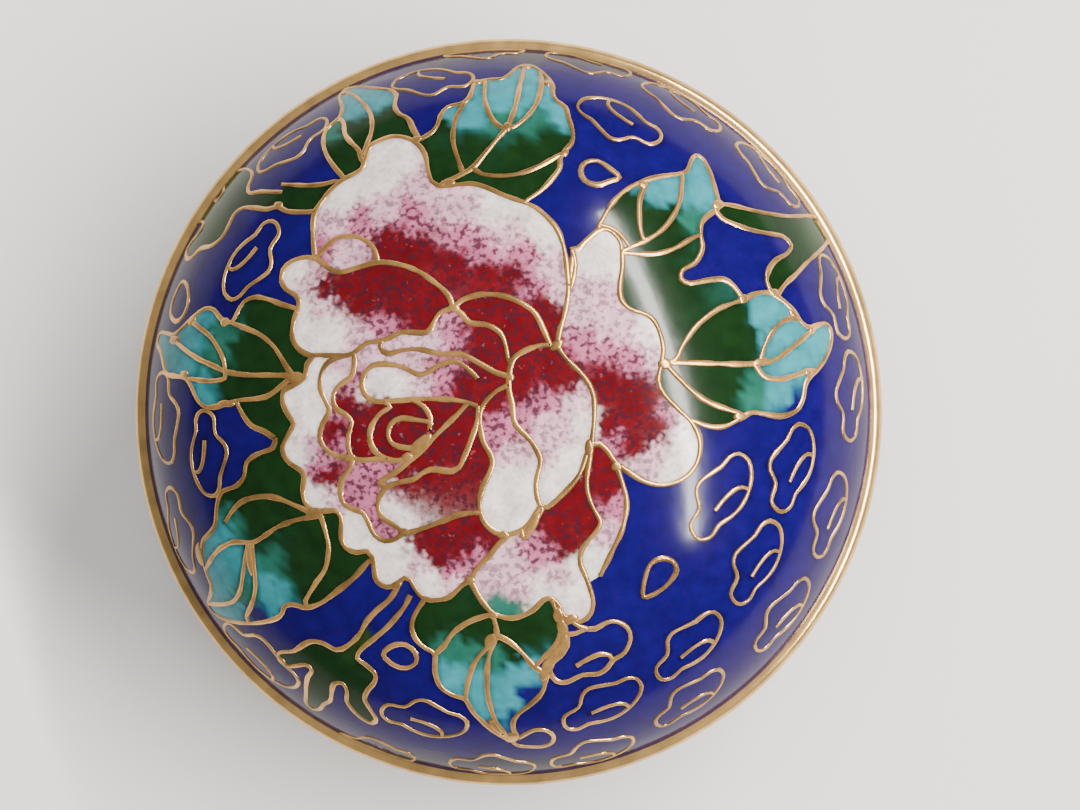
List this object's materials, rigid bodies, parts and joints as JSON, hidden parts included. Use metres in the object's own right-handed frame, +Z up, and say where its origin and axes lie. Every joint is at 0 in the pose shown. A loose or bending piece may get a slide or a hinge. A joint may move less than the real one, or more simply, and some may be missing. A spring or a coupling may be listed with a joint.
{
  "type": "pill box",
  "caption": "Round cloisonne enamel pill box: domed lid with flower, leaves and scroll clouds in brass wire on blue, lifting off a footed bowl.",
  "frame": {"origin": "on the floor under the middle of the foot ring", "axes": "+Z up through the crown of the lid; looking down on the lid +X is right and +Y is away"},
  "size_m": [0.05, 0.05, 0.0282],
  "materials": {
    "gilt_brass": "polished, rounded by wear",
    "wire_brass": "ground level with the enamel and polished",
    "copper": "plain copper, hidden under enamel",
    "enamel_blue": "glossy cobalt enamel, ground and polished, fine pits",
    "enamel_white": "glossy white enamel shading to pink and red in the cell",
    "enamel_red": "glossy deep red enamel with dark grains",
    "enamel_pink": "glossy pink enamel shading to white and red",
    "enamel_green": "glossy dark green enamel",
    "enamel_turquoise": "glossy turquoise enamel shading to dark green",
    "counter_enamel": "glossy plain blue counter-enamel"
  },
  "bodies": {
    "base": {"base_shell": "copper", "base_lining": "counter_enamel", "base_rim": "gilt_brass", "base_collar": "gilt_brass", "foot_ring": "gilt_brass", "base_foot_enamel": "counter_enamel", "base_cloud_wires": "wire_brass", "base_ground_enamel": "enamel_blue"},
    "lid": {"lid_shell": "copper", "lid_lining": "counter_enamel", "lid_rim": "gilt_brass", "flower_outline_wires": "wire_brass", "flower_inner_wires": "wire_brass", "leaf_upper_wires": "wire_brass", "leaf_side_wires": "wire_brass", "leaf_lower_wires": "wire_brass", "stem_wires": "wire_brass", "drop_wires": "wire_brass", "cloud_wires": "wire_brass", "petal_top_enamel": "enamel_white", "petal_left_enamel": "enamel_white", "petal_crescent_enamel": "enamel_red", "petal_right_enamel": "enamel_white", "petal_small_enamel": "enamel_pink", "petal_lower_enamel": "enamel_white", "petal_lower_left_enamel": "enamel_white", "petal_middle_enamel": "enamel_white", "petal_fold_enamel": "enamel_pink", "petal_band_enamel": "enamel_white", "petal_heart_enamel": "enamel_pink", "petal_spiral_enamel": "enamel_red", "petal_side_enamel": "enamel_white", "leaf_top_enamel": "enamel_turquoise", "leaf_upper_right_enamel": "enamel_green", "leaf_right_enamel": "enamel_turquoise", "leaf_lower_enamel": "enamel_turquoise", "leaf_lower_left_enamel": "enamel_green", "leaf_left_enamel": "enamel_turquoise", "leaf_upper_left_enamel": "enamel_turquoise", "stem_right_enamel": "enamel_green", "stem_left_enamel": "enamel_green", "maple_leaf_enamel": "enamel_green", "solder_fill": "wire_brass", "lid_ground_enamel": "enamel_blue"}
  },
  "joints": [
    {"name": "lid_lift", "type": "slide", "parent": "base", "child": "lid", "axis": [0, 0, 1], "range_m": [0, 0.04]}
  ]
}
